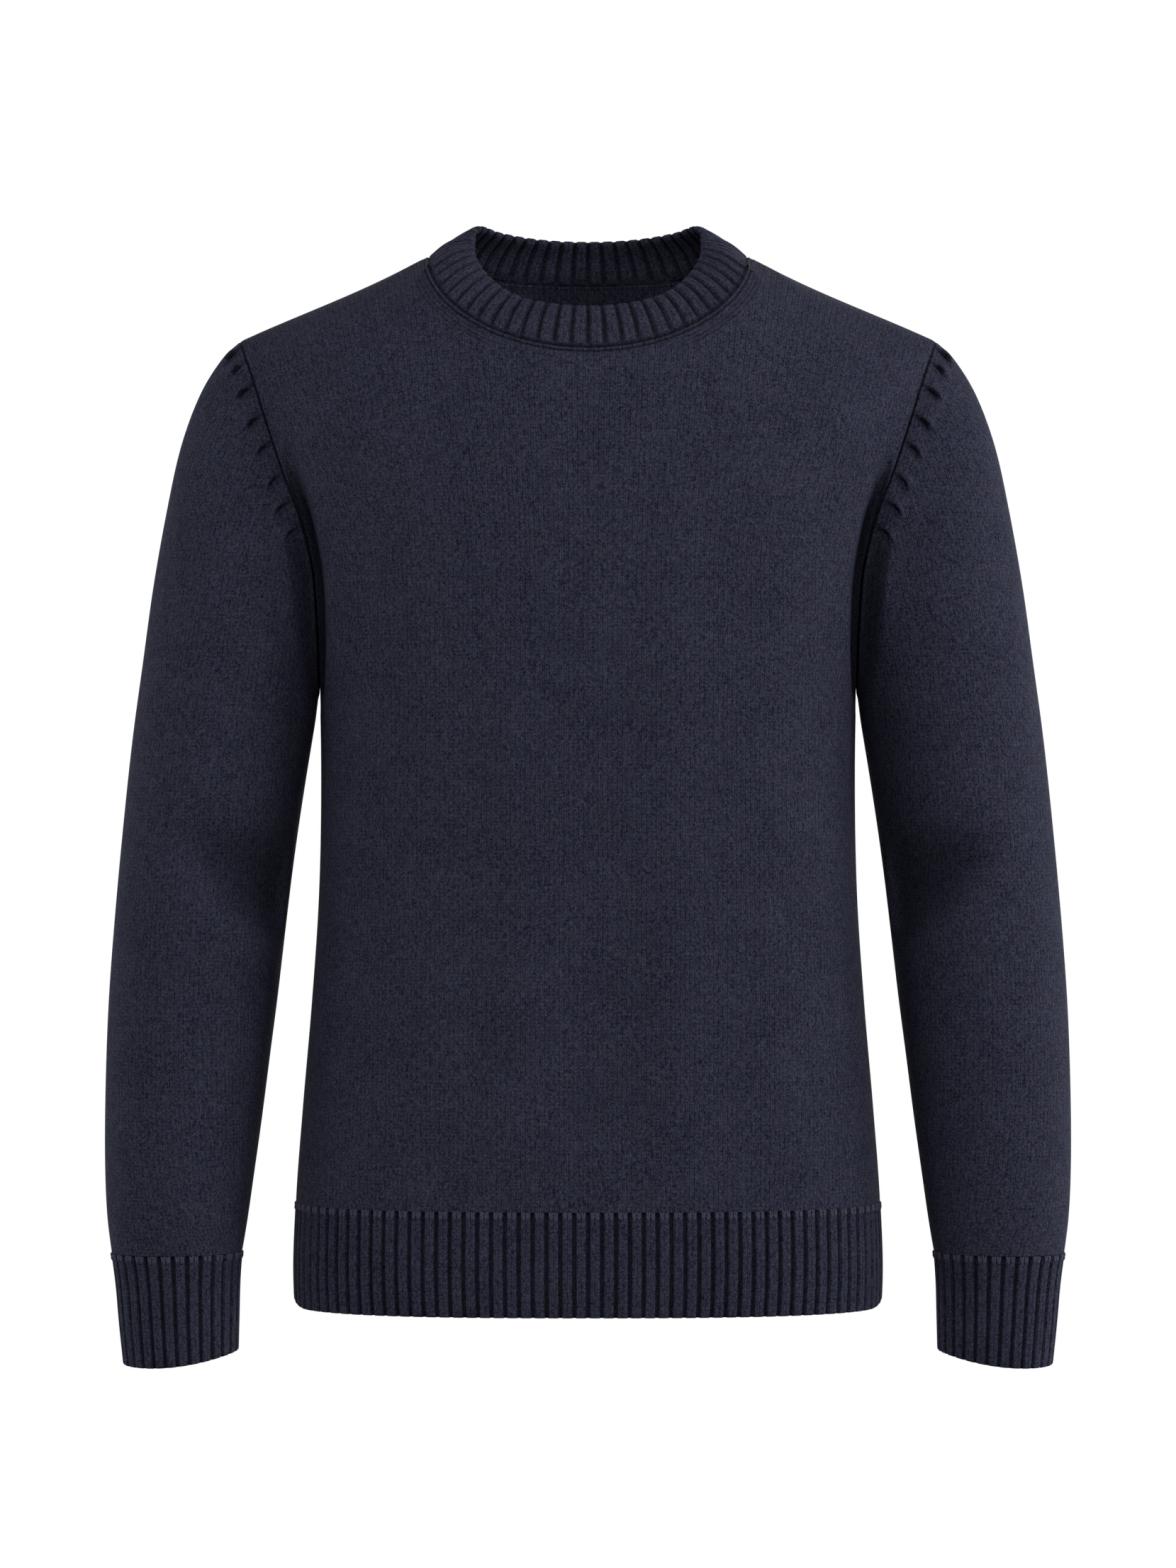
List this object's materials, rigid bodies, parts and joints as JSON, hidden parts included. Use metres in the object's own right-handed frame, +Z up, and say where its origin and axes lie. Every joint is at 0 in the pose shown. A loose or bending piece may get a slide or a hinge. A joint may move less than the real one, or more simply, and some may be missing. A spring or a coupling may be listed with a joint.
{
  "type": "crew-neck knitted pullover",
  "caption": "Men's crew-neck pullover in fine plain knit, filled out and hollow, with set-in long sleeves, a folded ribbed neckband, ribbed cuffs and a ribbed hem.",
  "frame": {"origin": "on the middle plane at the level of the two high points of the shoulders beside the neck, where the pullover hangs on its wearer", "axes": "+Z up, the front faces -Y, the wearer's left side is at +X"},
  "size_m": [0.6156, 0.241, 0.7283],
  "materials": {
    "front_knit": "matte plain knit",
    "back_knit": "matte plain knit",
    "hem_rib_front_knit": "matte rib knit",
    "hem_rib_back_knit": "matte rib knit",
    "sleeve_left_knit": "matte plain knit",
    "sleeve_right_knit": "matte plain knit",
    "cuff_left_knit": "matte rib knit",
    "cuff_right_knit": "matte rib knit",
    "neckband_knit": "matte rib knit"
  },
  "bodies": {
    "root": {"front": "front_knit", "back": "back_knit", "hem_rib_front": "hem_rib_front_knit", "hem_rib_back": "hem_rib_back_knit", "sleeve_left": "sleeve_left_knit", "sleeve_right": "sleeve_right_knit", "cuff_left": "cuff_left_knit", "cuff_right": "cuff_right_knit", "neckband": "neckband_knit"}
  },
  "joints": []
}
